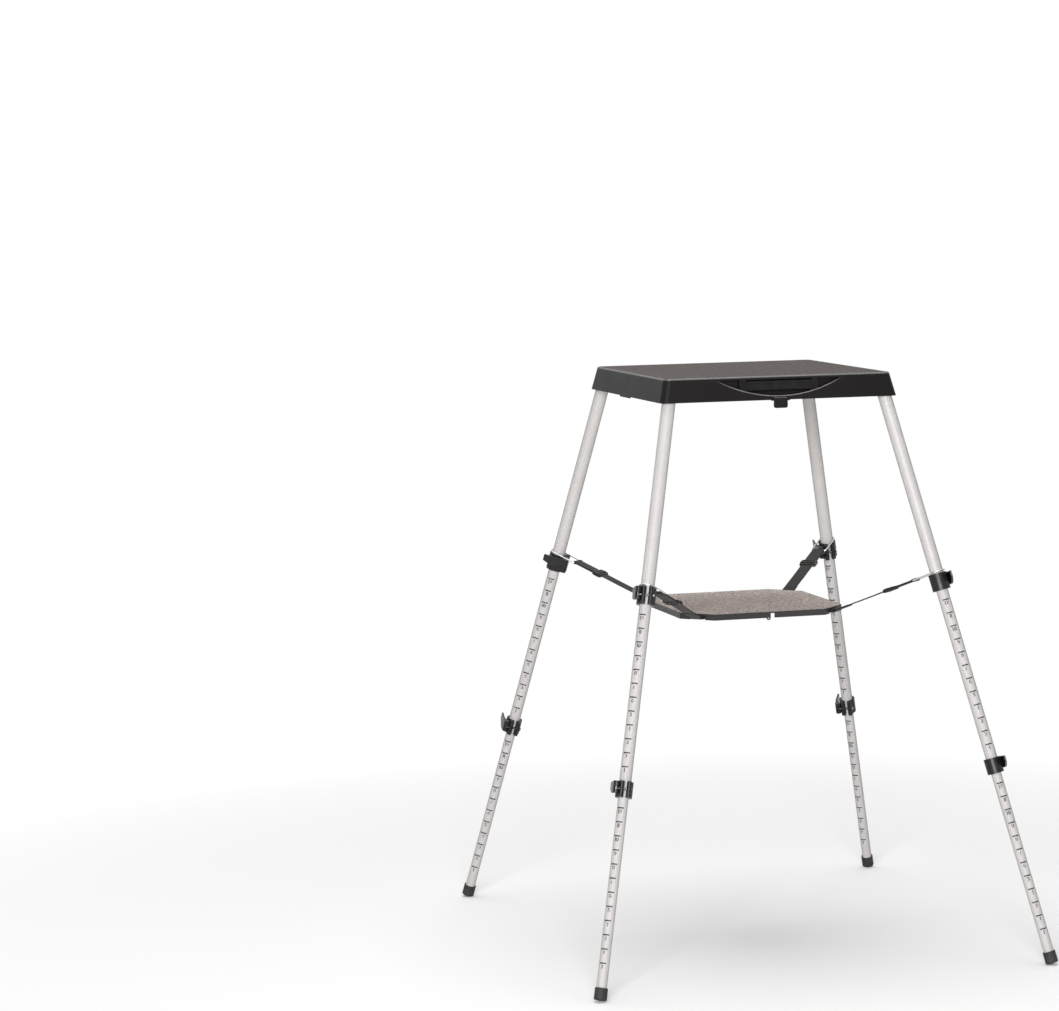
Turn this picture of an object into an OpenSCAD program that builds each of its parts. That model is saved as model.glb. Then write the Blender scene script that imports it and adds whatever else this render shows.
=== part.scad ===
// Telescoping projector stand. A table top shaped like a shallow case stands on four splayed legs.
// Each leg has three tubes and two flip-lever clamps, and plugs into a socket in a corner of the case.
// A smaller shelf hangs below on four webbing straps, whose wire loops rest on the upper clamps.
// X runs to the right, Y to the back and Z up. The origin is on the floor under the middle.

/* [Case] */
// Width of the table top, left to right
case_w = 445; // [380:1:560]
// Depth of the table top, front to back
case_d = 445; // [380:1:560]
// Height of the case from its lower edge to the table top
case_h = 44; // [42:0.5:60]
// How far the skirt leans out at its lower edge
case_flare = 9.5; // [7:0.5:12]
// Thickness of the case's walls
case_wall = 3; // [2:0.25:3.5]
// Radius of the case's upright corners
case_corner_r = 14; // [10:0.5:18]
// Rounding along the edge of the table top
case_edge_r = 3; // [1.5:0.25:4]
// Thickness of the board that stiffens the table top
board_t = 6; // [3:0.5:9]
// Gap between the board and the case's walls
board_gap = 4; // [2:0.5:8]
// Length of the shallow lugs under the left and right sides
lug_len = 60; // [30:1:90]
// Depth of the shallow lugs below the skirt
lug_drop = 2.5; // [1:0.25:4]

/* [Front recess and handle] */
// Width of the finger recess along its straight upper edge
recess_w = 245; // [220:1:270]
// Height of the finger recess in the middle
recess_h = 31; // [29:0.25:31.5]
// Strip of skirt above the recess
recess_top = 6; // [5:0.25:6.5]
// Depth of the recess floor behind the edge of the table top
recess_depth = 13; // [12:0.5:16]
// Thickness of the recess's walls
recess_wall = 2.5; // [1.5:0.25:3]
// Length of the carrying handle
handle_w = 128; // [100:1:140]
// Thickness of the carrying handle
handle_t = 6; // [4:0.25:7]
// Width of the ears that carry the handle
handle_ear_w = 13; // [8:0.5:16]
// Diameter of the handle's pins
handle_pin_d = 3; // [2:0.25:4]
// How far each pin reaches into the handle
handle_pin_reach = 9; // [5:0.5:14]

/* [Latch] */
// Width of the latch tab
latch_w = 26.6; // [20:0.1:34]
// Length of the latch tab
latch_h = 18.7; // [14:0.1:24]
// Thickness of the latch tab
latch_t = 3; // [2:0.25:4]
// Radius of the latch tab's lower corners
latch_corner_r = 4; // [2:0.25:6]
// Diameter of the latch's knuckle
latch_knuckle_d = 5.2; // [4.5:0.1:6]
// Diameter of the latch's pin
latch_pin_d = 2.6; // [2:0.1:3]
// Width of the lugs that carry the latch's pin
latch_lug_w = 4.2; // [3:0.1:6]

/* [Leg tubes] */
// Lean of the legs away from upright, in degrees
leg_tilt = 18.2; // [14:0.1:21]
// Direction in plan in which the legs splay, in degrees from left-right
leg_splay = 49.2; // [42:0.1:52]
// Distance from the case's lower edge in to a leg's axis
leg_inset = 20; // [18.5:0.5:24]
// Depth of the sockets in the corners of the case
socket_depth = 32; // [24:0.5:34]
// Length of the sides of a corner socket block
socket_side = 62; // [58:1:80]
// Outside diameter of the upper tube
upper_d = 25.4; // [22:0.1:26]
// Wall of the tubes
tube_wall = 1.2; // [0.8:0.1:1.5]
// Radial gap between a tube and the one inside it
tube_gap = 0.4; // [0.3:0.05:0.6]
// Length of the upper tube
upper_len = 410; // [360:1:460]
// Length of the middle tube
mid_len = 432; // [400:1:480]
// Length of the lower tube
lower_len = 443; // [410:1:480]
// Length of middle tube held in the upper tube when the leg is pulled out
upper_grip = 78; // [60:1:100]
// Length of lower tube held in the middle tube when the leg is pulled out
lower_grip = 82; // [60:1:100]
// Length of the guide bushes on the inner tubes
bush_len = 14; // [8:0.5:24]
// Diameter of the foot caps
foot_d = 23.7; // [22:0.1:28]
// Height of the foot caps
foot_h = 22; // [16:0.5:30]
// Thickness of a foot cap under its tube
foot_floor = 5; // [3:0.5:8]
// Rounding around the bottom of a foot cap
foot_round = 2.5; // [1:0.25:4]

/* [Clamps] */
// Height of the upper clamps
upper_clamp_h = 32; // [28:0.5:40]
// Height of the lower clamps
lower_clamp_h = 29; // [26:0.5:36]
// Wall of the clamps' collars
clamp_wall = 4.5; // [3.5:0.1:5.5]
// Thickness of the lip under the end of the clamped tube
clamp_lip = 2; // [1:0.25:3]
// Width of the slit in a collar
clamp_slit = 5; // [3:0.25:6]
// Width of each ear beside the slit
ear_w = 8.5; // [7:0.25:10]
// How far the ears stand out from the collar
ear_reach = 6; // [5.5:0.25:8]
// Diameter of the clamp screw
screw_d = 4; // [3:0.25:4.5]
// Diameter of the lever's pivot pin
pivot_d = 3.2; // [2.5:0.1:3.6]
// Diameter of the lever's round hub
hub_d = 11; // [10:0.25:12]
// Gap between a closed lever and the collar
lever_gap = 4.5; // [3.5:0.25:6]
// Thickness of the lever's arm
lever_t = 3.5; // [2.5:0.25:4.5]
// Length of a lever from its pivot to its tip
lever_len = 44; // [34:0.5:50]

/* [Shelf] */
// Width of the shelf, left to right
shelf_w = 324; // [280:1:350]
// Depth of the shelf, front to back
shelf_d = 324; // [280:1:350]
// Size of the shelf's cut corners
shelf_chamfer = 52; // [46:0.5:62]
// Depth of the shelf's rim
shelf_rim = 11.5; // [10:0.25:16]
// Thickness of the shelf's top and walls
shelf_wall = 2.8; // [2:0.1:3.5]
// Height of rim left above the strap notches in the cut corners
shelf_lip = 3.5; // [3.5:0.1:4.5]
// How far the shelf's top hangs below the wire loops of its straps
shelf_hang = 77; // [60:1:100]
// Width of the notch in the front of the rim
notch_w = 9; // [6:0.5:14]
// Radius of the catch hook in the notch
hook_r = 3; // [2:0.25:4]
// Thickness of the catch hook's rod
hook_d = 2.6; // [2:0.1:3]

/* [Straps] */
// Width of the webbing
strap_w = 25; // [18:0.5:28]
// Thickness of the webbing
strap_t = 1.6; // [1:0.1:2]
// Least distance from a strap bar's axis to the face of its cut corner
anchor_reach = 3.5; // [3.5:0.25:8]
// Diameter of the bars that the webbing is sewn round
bar_d = 4; // [3:0.25:4.5]
// Diameter of the wire of the strap loops
wire_d = 3; // [2:0.1:3.2]
// Play of the wire loops round the upper tubes
loop_play = 0.6; // [0.5:0.05:1.5]
// Distance from a leg's axis to the inner bar of its wire loop
loop_len = 46; // [38:0.5:56]
// Distance from the inner bar of the loop to the middle of the buckle
buckle_back = 56; // [40:1:70]
// Length of a buckle along the strap
buckle_len = 18; // [14:0.5:24]
// Thickness of a buckle
buckle_t = 8; // [7:0.25:9]

/* [Hidden] */
$fn = 64;

// Corners in the order front left, front right, back left, back right, as signs of X and Y
CORNERS = [[-1, -1], [1, -1], [-1, 1], [1, 1]];
// Plan directions that the slits of the upper and lower clamps face, in degrees from +X
UPPER_SLITS = [255, 73, 335, 262];
LOWER_SLITS = [258, 73, 262, 240];

// Cuts run this far past what they cut, and slices of a hull are this thin
overrun = 1;
sliver = 0.02;
// Play of a pin or shaft that turns or slides, and the gap between pieces that only stand close
run_fit = 0.06;
seat_gap = 0.3;
corner_fn = 32;

// Colours
black_plastic = [0.09, 0.085, 0.085];
black_lever = [0.06, 0.06, 0.065];
grey_shelf = [0.2, 0.19, 0.185];
bare_aluminium = [0.8, 0.8, 0.81];
frosted_aluminium = [0.85, 0.85, 0.86];
bright_steel = [0.7, 0.7, 0.72];
pale_nylon = [0.88, 0.87, 0.82];
plywood = [0.72, 0.58, 0.4];
black_rubber = [0.05, 0.05, 0.05];
dark_webbing = [0.2, 0.19, 0.185];

// Tubes, as radii
upper_r = upper_d / 2;
mid_r = upper_r - tube_wall - tube_gap;
lower_r = mid_r - tube_wall - tube_gap;
foot_r = foot_d / 2;

// Places along a leg, as distances down its axis from the case's lower edge
upper_end = upper_len - socket_depth;
upper_clamp_end = upper_end + clamp_lip;
upper_clamp_top = upper_clamp_end - upper_clamp_h;
mid_start = upper_end - upper_grip;
mid_end = mid_start + mid_len;
lower_clamp_end = mid_end + clamp_lip;
lower_start = mid_end - lower_grip;
lower_end = lower_start + lower_len;
leg_span = lower_end + foot_floor;

// A foot stands on the low side of its rounded rim
foot_rise = (foot_r - foot_round) * sin(leg_tilt) + foot_round * (1 - cos(leg_tilt));
base_z = leg_span * cos(leg_tilt) + foot_rise;
leg_x = case_w / 2 + case_flare - leg_inset;
leg_y = case_d / 2 + case_flare - leg_inset;

// Recess: a circle segment with its chord on top
recess_r = (pow(recess_w / 2, 2) + pow(recess_h, 2)) / (2 * recess_h);
recess_chord_z = case_h - recess_top;
recess_floor_y = recess_depth - case_d / 2;
function lip_drop(x) = sqrt(pow(recess_r, 2) - pow(x, 2)) - (recess_r - recess_h);

// Handle: hung from pins near the top of the recess, flush with the edge of the table top
handle_gap = 0.5;
handle_knuckle_wall = 1;
handle_knuckle_r = handle_t / 2 + handle_knuckle_wall;
handle_top_gap = 2;
handle_pivot_z = recess_chord_z - handle_knuckle_r - handle_top_gap;
handle_pivot_y = handle_t / 2 - case_d / 2;
handle_low_z = recess_chord_z - lip_drop(handle_w / 2) + handle_t / 4;
handle_ear_x = handle_w / 2 + handle_gap;

// Latch: hung from a pin in the lower edge of the skirt
latch_sink_share = 0.35;
latch_set_back = 0.2;
latch_pivot_z = latch_knuckle_d / 2 - latch_sink_share * latch_knuckle_d;
latch_pivot_y = latch_knuckle_d / 2 + latch_set_back - case_d / 2 - case_flare;
latch_notch_top = latch_pivot_z + latch_knuckle_d / 2 + seat_gap;
latch_face_y = latch_pivot_y - latch_knuckle_d / 2;
latch_lug_drop = 1.5;
latch_lug_x = latch_w / 2 + seat_gap;

// Corner sockets and their screws
socket_lift = 3;
socket_end_r = 3;
screw_share = 0.78;
screw_edge = 7;
case_screw_r = 1.9;
case_head_r = 3.6;
case_head_h = 2.2;
case_screw_len = 22;

// Clamp parts
clamp_ear_y = clamp_slit / 2 + ear_w;
pivot_y = -(clamp_ear_y + hub_d / 2 + seat_gap);
eye_wall = 1.2;
eye_r = pivot_d / 2 + eye_wall;
eye_h = 5;
head_r = 3.8;
head_h = 2.4;
lever_low_share = 0.2;
lever_high_share = 0.95;
lever_tip_share = 0.45;
lever_elbow_share = 0.4;
hub_join_share = 0.45;

// Shelf and strap lines
anchor_arm_t = 2.5;
anchor_plate_t = 3;
anchor_plate_len = 16;
anchor_out = (shelf_w - shelf_chamfer) / 2;
anchor_back = (shelf_d - shelf_chamfer) / 2;
sleeve_gap = 0.6;
ply_gap = 0.5;
buckle_side = 3.5;
anchor_drop = shelf_lip + sleeve_gap + strap_t + bar_d / 4;
// How much further from its wire loop each corner's buckle sits
BUCKLE_SHIFTS = [13, 0, 0, 0];

// The point s down the axis of the back right leg
function leg_point(s) = [
    leg_x + s * sin(leg_tilt) * cos(leg_splay),
    leg_y + s * sin(leg_tilt) * sin(leg_splay),
    base_z - s * cos(leg_tilt)
];

// A strap bar stands out far enough for webbing that leaves its cut corner at a slant
corner_skew =
    atan2(leg_point(upper_clamp_top)[1] - anchor_back, leg_point(upper_clamp_top)[0] - anchor_out) - 45;
anchor_stand = anchor_reach + strap_w / 2 * sin(abs(corner_skew));
anchor_x = anchor_out + anchor_stand * cos(45);
anchor_y = anchor_back + anchor_stand * sin(45);

// The slope of a strap whose wire loop is s down a leg
function rise_at(s) =
    atan2(shelf_hang + anchor_drop, norm([leg_point(s)[0] - anchor_x, leg_point(s)[1] - anchor_y]));

// The wire loops rest on the upper clamps, clear of their ears
loop_slant = abs(rise_at(upper_clamp_top) - leg_tilt);
loop_lift = wire_d / 2 + seat_gap + (upper_r + clamp_wall + ear_reach) * sin(loop_slant);
loop_s = upper_clamp_top - loop_lift;
loop_side = max(upper_r, strap_w / 2) + loop_play + wire_d / 2;
strap_to = leg_point(loop_s);
shelf_z = strap_to[2] - shelf_hang;
strap_from = [anchor_x, anchor_y, shelf_z - anchor_drop];
strap_run = strap_to - strap_from;
strap_reach = norm(strap_run);
strap_turn = atan2(strap_run[1], strap_run[0]);
strap_rise = rise_at(loop_s);
loop_bar_x = strap_reach - loop_len;
function buckle_at(i) = loop_bar_x - buckle_back - BUCKLE_SHIFTS[i];

// The bars lie square to their straps, and the brackets' arms stand clear of the turned webbing
strap_skew = strap_turn - 45;
sleeve_r = bar_d / 2 + sleeve_gap + strap_t;
anchor_half = strap_w / 2 + sleeve_gap + sleeve_r * sin(abs(strap_skew));

// Frames

module at_case() {
    translate([0, 0, base_z]) children();
}

// Direction in plan in which leg i splays
function leg_dir(i) = atan2(CORNERS[i][1] * sin(leg_splay), CORNERS[i][0] * cos(leg_splay));

// Z up along the axis of leg i from the case's lower edge, X away from the middle of the stand
module at_leg(i) {
    translate([CORNERS[i][0] * leg_x, CORNERS[i][1] * leg_y, base_z])
        rotate([0, -leg_tilt, leg_dir(i)]) children();
}

// On leg i, at the bottom of a clamp that ends s down the leg, with X out through its slit
module at_clamp(i, s, slit) {
    at_leg(i) translate([0, 0, -s]) rotate([0, 0, slit - leg_dir(i)]) children();
}

// What is made for the back right corner, mirrored into corner i
module at_corner(i) {
    mirror([CORNERS[i][0] < 0 ? 1 : 0, 0, 0])
        mirror([0, CORNERS[i][1] < 0 ? 1 : 0, 0]) children();
}

// X along the strap of corner i from the bar at the shelf to the leg's axis, Y across the webbing
module at_strap(i) {
    at_corner(i) translate(strap_from) rotate([0, -strap_rise, strap_turn]) children();
}

// Case

// A thin slice of the case with its corners rounded
module case_slice(w, d, r, z) {
    for (x = [r - w / 2, w / 2 - r], y = [r - d / 2, d / 2 - r])
        translate([x, y, z]) cylinder(h = sliver, r = r, $fn = corner_fn);
}

module case_outer() {
    hull() {
        case_slice(case_w + 2 * case_flare, case_d + 2 * case_flare, case_corner_r, 0);
        for (a = [0, 30, 60, 90]) {
            inset = case_edge_r * (1 - cos(a));
            case_slice(case_w - 2 * inset, case_d - 2 * inset, case_corner_r - inset,
                case_h - case_edge_r * (1 - sin(a)) - sliver);
        }
    }
}

module case_inner() {
    hull() {
        case_slice(case_w + 2 * (case_flare - case_wall), case_d + 2 * (case_flare - case_wall),
            case_corner_r - case_wall, -overrun);
        case_slice(case_w - 2 * case_wall, case_d - 2 * case_wall, case_corner_r - case_wall,
            case_h - case_wall - sliver);
    }
}

// The outline of the recess, grown by g and up to top, from a plane at y out through the front
module recess_prism(g, top, y) {
    translate([0, y, 0]) rotate([90, 0, 0]) linear_extrude(recess_depth + case_flare + overrun)
        intersection() {
            translate([0, recess_chord_z + recess_r - recess_h]) circle(r = recess_r + g, $fn = 180);
            translate([-recess_w, top - 2 * recess_h]) square([2 * recess_w, 2 * recess_h]);
        }
}

// The pocket's walls, cut off by the skirt and merged with the panel above
module recess_pocket() {
    intersection() {
        case_outer();
        recess_prism(recess_wall, case_h, recess_floor_y + recess_wall);
    }
}

// Ears across the recess, on both sides of the handle
module handle_ears() {
    intersection() {
        recess_prism(sliver, recess_chord_z + sliver, recess_floor_y + sliver);
        for (x = [-handle_ear_x - handle_ear_w, handle_ear_x])
            translate([x, -case_d / 2, 0]) cube([handle_ear_w, recess_depth + overrun, case_h]);
    }
}

module latch_lugs() {
    for (x = [-latch_lug_x - latch_lug_w, latch_lug_x])
        translate([x, latch_pivot_y - latch_knuckle_d / 2, -latch_lug_drop])
            cube([latch_lug_w, latch_knuckle_d + case_wall / 2, latch_notch_top + latch_lug_drop]);
}

module side_lugs() {
    for (x = [-case_w / 2 - case_flare, case_w / 2 + case_flare - case_wall])
        translate([x, -lug_len / 2, -lug_drop]) cube([case_wall, lug_len, lug_drop + sliver]);
}

module case_shell() {
    color(black_plastic) at_case() difference() {
        union() {
            difference() {
                union() {
                    difference() {
                        case_outer();
                        case_inner();
                    }
                    recess_pocket();
                }
                recess_prism(0, recess_chord_z, recess_floor_y);
                translate([-latch_lug_x, latch_face_y - overrun, -overrun])
                    cube([2 * latch_lug_x, latch_knuckle_d + case_wall + overrun,
                        latch_notch_top + overrun]);
            }
            handle_ears();
            latch_lugs();
            side_lugs();
        }
        for (x = [-handle_ear_x - handle_ear_w, handle_ear_x])
            translate([x - overrun, handle_pivot_y, handle_pivot_z]) rotate([0, 90, 0])
                cylinder(h = handle_ear_w + 2 * overrun, r = handle_pin_d / 2);
        translate([-latch_lug_x - latch_lug_w - overrun, latch_pivot_y, latch_pivot_z])
            rotate([0, 90, 0])
                cylinder(h = 2 * (latch_lug_x + latch_lug_w + overrun), r = latch_pin_d / 2);
    }
}

module stiffener_board() {
    x = case_w / 2 - case_wall - board_gap;
    y = case_d / 2 - case_wall - board_gap;
    front = recess_floor_y + recess_wall + board_gap;
    corner = socket_edge(case_h - case_wall) - board_gap * sqrt(2);
    color(plywood) at_case() translate([0, 0, case_h - case_wall - board_t])
        linear_extrude(board_t)
            polygon([
                [-x, x - corner], [-corner - front, front], [corner + front, front], [x, x - corner],
                [x, corner - x], [corner - y, y], [y - corner, y], [-x, corner - x]
            ]);
}

// Half width or depth of the space inside the skirt at height z, for a case of size w
function inside_at(w, z) =
    w / 2 - case_wall + case_flare * (case_h - case_wall - z) / (case_h - case_wall + overrun);

// X plus Y along the inner face of the back right socket block, at height z
function socket_edge(z) =
    inside_at(case_w, z) + inside_at(case_d, z) - 2 * seat_gap - socket_side - socket_end_r * (1 + sqrt(2));

module leg_sockets() {
    top_z = case_h - case_wall;
    color(black_plastic) for (i = [0 : 3]) difference() {
        at_corner(i) at_case() hull() for (z = [socket_lift, top_z - sliver]) {
            x = inside_at(case_w, z) - seat_gap;
            y = inside_at(case_d, z) - seat_gap;
            r = case_corner_r - case_wall;
            e = socket_end_r;
            translate([x - r, y - r, z]) cylinder(h = sliver, r = r, $fn = corner_fn);
            translate([x - e, y - socket_side, z]) cylinder(h = sliver, r = e, $fn = corner_fn);
            translate([x - socket_side, y - e, z]) cylinder(h = sliver, r = e, $fn = corner_fn);
        }
        at_leg(i) translate([0, 0, -upper_d])
            cylinder(h = upper_d + socket_depth + seat_gap, r = upper_r + run_fit);
        at_corner(i) for (p = screw_places()) translate([p[0], p[1], base_z])
            cylinder(h = case_screw_len + socket_lift + overrun, r = case_screw_r);
    }
}

function screw_places() = [
    [inside_at(case_w, 0) - socket_side * screw_share, inside_at(case_d, case_h) - screw_edge / 2],
    [inside_at(case_w, case_h) - screw_edge / 2, inside_at(case_d, 0) - socket_side * screw_share]
];

module case_screws() {
    color(bright_steel) for (i = [0 : 3]) at_corner(i)
        for (p = screw_places()) translate([p[0], p[1], base_z + socket_lift]) {
            cylinder(h = case_screw_len, r = case_screw_r);
            translate([0, 0, -case_head_h]) cylinder(h = case_head_h, r = case_head_r);
        }
}

module handle_grip() {
    drop = handle_pivot_z - handle_low_z - handle_t / 2;
    color(black_plastic) at_case() translate([0, handle_pivot_y, handle_pivot_z]) difference() {
        rotate([90, 0, 90]) translate([0, 0, -handle_w / 2]) linear_extrude(handle_w) {
            circle(r = handle_knuckle_r);
            translate([-handle_t / 2, -drop]) square([handle_t, drop]);
            translate([0, -drop]) circle(r = handle_t / 2);
        }
        for (side = [0, 180]) rotate([0, 0, side])
            translate([handle_w / 2 - handle_pin_reach - seat_gap, 0, 0]) rotate([0, 90, 0])
                cylinder(h = handle_pin_reach + seat_gap + overrun, r = handle_pin_d / 2 + run_fit);
    }
}

// Two pins for the handle and one for the latch
module hinge_pins() {
    color(bright_steel) at_case() {
        for (side = [0, 180]) translate([0, handle_pivot_y, handle_pivot_z]) rotate([0, 0, side])
            translate([handle_w / 2 - handle_pin_reach, 0, 0]) rotate([0, 90, 0])
                cylinder(h = handle_pin_reach + handle_gap + handle_ear_w, r = handle_pin_d / 2);
        translate([-latch_lug_x - latch_lug_w, latch_pivot_y, latch_pivot_z]) rotate([0, 90, 0])
            cylinder(h = 2 * (latch_lug_x + latch_lug_w), r = latch_pin_d / 2);
    }
}

module latch_tab() {
    low = latch_pivot_z + latch_knuckle_d / 2 - latch_h;
    color(black_lever) at_case() difference() {
        union() {
            translate([-latch_w / 2, latch_pivot_y, latch_pivot_z]) rotate([0, 90, 0])
                cylinder(h = latch_w, r = latch_knuckle_d / 2);
            translate([0, latch_face_y + latch_t, 0]) rotate([90, 0, 0]) linear_extrude(latch_t) {
                translate([-latch_w / 2, low + latch_corner_r])
                    square([latch_w, latch_pivot_z - low - latch_corner_r]);
                translate([latch_corner_r - latch_w / 2, low])
                    square([latch_w - 2 * latch_corner_r, latch_pivot_z - low]);
                for (x = [latch_corner_r - latch_w / 2, latch_w / 2 - latch_corner_r])
                    translate([x, low + latch_corner_r]) circle(r = latch_corner_r);
            }
        }
        translate([-latch_w, latch_pivot_y, latch_pivot_z]) rotate([0, 90, 0])
            cylinder(h = 2 * latch_w, r = latch_pin_d / 2 + run_fit);
    }
}

// Leg tubes

module tube(r, from, to) {
    translate([0, 0, -to]) difference() {
        cylinder(h = to - from, r = r);
        translate([0, 0, -overrun]) cylinder(h = to - from + 2 * overrun, r = r - tube_wall);
    }
}

module upper_tube(i) {
    color(bare_aluminium) at_leg(i) tube(upper_r, -socket_depth, upper_end);
}

module mid_tube(i) {
    color(frosted_aluminium) at_leg(i) tube(mid_r, mid_start, mid_end);
}

module lower_tube(i) {
    color(frosted_aluminium) at_leg(i) tube(lower_r, lower_start, lower_end);
}

// A flanged sleeve in the top of an inner tube, which runs in the tube outside it
module bush(r, start) {
    flange = bush_len / 4;
    translate([0, 0, -start]) difference() {
        union() {
            cylinder(h = flange, r = r + tube_gap - run_fit);
            translate([0, 0, flange - bush_len]) cylinder(h = bush_len, r = r - tube_wall);
        }
        translate([0, 0, -bush_len]) cylinder(h = 2 * bush_len, r = r - 2 * tube_wall);
    }
}

module mid_bush(i) {
    color(pale_nylon) at_leg(i) bush(mid_r, mid_start);
}

module lower_bush(i) {
    color(pale_nylon) at_leg(i) bush(lower_r, lower_start);
}

module foot(i) {
    color(black_rubber) at_leg(i) translate([0, 0, -leg_span]) difference() {
        rotate_extrude() {
            translate([0, foot_round]) square([foot_r, foot_h - foot_round]);
            square([foot_r - foot_round, foot_h]);
            translate([foot_r - foot_round, foot_round]) circle(r = foot_round);
        }
        translate([0, 0, foot_floor]) cylinder(h = foot_h, r = lower_r);
    }
}

// Clamps. A collar of height h for a tube of radius r, which closes on a tube of radius inner_r.

module clamp(r, inner_r, h) {
    out = r + clamp_wall;
    difference() {
        union() {
            cylinder(h = h, r = out);
            translate([0, -clamp_ear_y, 0]) cube([out + ear_reach - ear_w / 2, 2 * clamp_ear_y, h]);
            for (y = [ear_w / 2 - clamp_ear_y, clamp_ear_y - ear_w / 2])
                translate([out + ear_reach - ear_w / 2, y, 0]) cylinder(h = h, r = ear_w / 2);
        }
        translate([0, 0, clamp_lip]) cylinder(h = h, r = r);
        translate([0, 0, -overrun]) cylinder(h = h, r = inner_r + seat_gap);
        translate([0, -clamp_slit / 2, -overrun]) cube([2 * out, clamp_slit, h + 2 * overrun]);
        translate([screw_x(r), -2 * clamp_ear_y, h / 2]) rotate([-90, 0, 0])
            cylinder(h = 4 * clamp_ear_y, r = screw_d / 2);
    }
}

// Distance from a leg's axis to the clamp screw of a collar for a tube of radius r
function screw_x(r) = r + clamp_wall + screw_d / 2;

// The clamp screw, the eye at its end and the lever's pivot pin
module clamp_screw(r, h) {
    translate([screw_x(r), 0, h / 2]) {
        translate([0, pivot_y, 0]) rotate([-90, 0, 0])
            cylinder(h = clamp_ear_y - pivot_y, r = screw_d / 2 - run_fit);
        translate([0, clamp_ear_y, 0]) rotate([-90, 0, 0]) cylinder(h = head_h, r = head_r);
        translate([0, pivot_y, -eye_h / 2]) cylinder(h = eye_h, r = eye_r);
        translate([0, pivot_y, lever_low(h)])
            cylinder(h = lever_high(h) - lever_low(h), r = pivot_d / 2);
    }
}

// The lower and upper ends of a lever's hub, from the middle of a collar of height h
function lever_low(h) = h * (lever_low_share - 1 / 2);
function lever_high(h) = h * (lever_high_share - 1 / 2);

// The lever lies along the collar's side, and swings out about its pivot pin. Its lower edge
// rises towards the tip.
module lever(r, h) {
    low = lever_low(h);
    high = lever_high(h);
    tall = high - low;
    px = screw_x(r);
    inner_y = -(r + clamp_wall + lever_gap);
    outer_y = inner_y - lever_t;
    elbow_x = px - lever_len * lever_elbow_share;
    tip_x = px - lever_len;
    tip_low = high - tall * lever_tip_share;
    slot = eye_h / 2 + seat_gap;
    clear = eye_r + seat_gap;
    translate([0, 0, h / 2]) difference() {
        intersection() {
            translate([0, 0, low]) linear_extrude(tall) {
                translate([px, pivot_y]) circle(r = hub_d / 2);
                polygon([
                    [px, pivot_y], [px - hub_d * hub_join_share, pivot_y], [elbow_x, inner_y],
                    [tip_x + lever_t / 4, inner_y], [tip_x, inner_y - lever_t / 4],
                    [tip_x, outer_y + lever_t / 4], [tip_x + lever_t / 2, outer_y], [elbow_x, outer_y],
                    [px, pivot_y - hub_d * hub_join_share]
                ]);
            }
            translate([0, -outer_y, 0]) rotate([90, 0, 0]) linear_extrude(-3 * outer_y)
                polygon([
                    [px + hub_d, low], [px - hub_d, low], [tip_x - lever_t, tip_low],
                    [tip_x - lever_t, high], [px + hub_d, high]
                ]);
        }
        translate([px, pivot_y, -tall]) cylinder(h = 2 * tall, r = pivot_d / 2 + run_fit);
        translate([px, pivot_y, -slot]) cylinder(h = 2 * slot, r = clear);
        translate([px - clear, pivot_y, -slot]) cube([hub_d, hub_d, 2 * slot]);
        translate([px, pivot_y - clear, -slot]) cube([hub_d, hub_d, 2 * slot]);
    }
}

module upper_clamp(i) {
    color(black_plastic) at_clamp(i, upper_clamp_end, UPPER_SLITS[i]) clamp(upper_r, mid_r, upper_clamp_h);
}

module upper_screw(i) {
    color(bright_steel) at_clamp(i, upper_clamp_end, UPPER_SLITS[i]) clamp_screw(upper_r, upper_clamp_h);
}

module upper_lever(i) {
    color(black_lever) at_clamp(i, upper_clamp_end, UPPER_SLITS[i]) lever(upper_r, upper_clamp_h);
}

module lower_clamp(i) {
    color(black_plastic) at_clamp(i, lower_clamp_end, LOWER_SLITS[i]) clamp(mid_r, lower_r, lower_clamp_h);
}

module lower_screw(i) {
    color(bright_steel) at_clamp(i, lower_clamp_end, LOWER_SLITS[i]) clamp_screw(mid_r, lower_clamp_h);
}

module lower_lever(i) {
    color(black_lever) at_clamp(i, lower_clamp_end, LOWER_SLITS[i]) lever(mid_r, lower_clamp_h);
}

// Shelf

// The shelf's outline, drawn in by g on every side
module shelf_outline(g) {
    x = shelf_w / 2 - g;
    y = shelf_d / 2 - g;
    c = shelf_chamfer - g * (2 - sqrt(2));
    polygon([
        [-x, c - y], [c - x, -y], [x - c, -y], [x, c - y],
        [x, y - c], [x - c, y], [c - x, y], [-x, y - c]
    ]);
}

// The middle of a cut corner, with X out from the shelf
module at_chamfer(i) {
    at_corner(i) translate([anchor_out, anchor_back, shelf_z]) rotate([0, 0, 45]) children();
}

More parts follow.
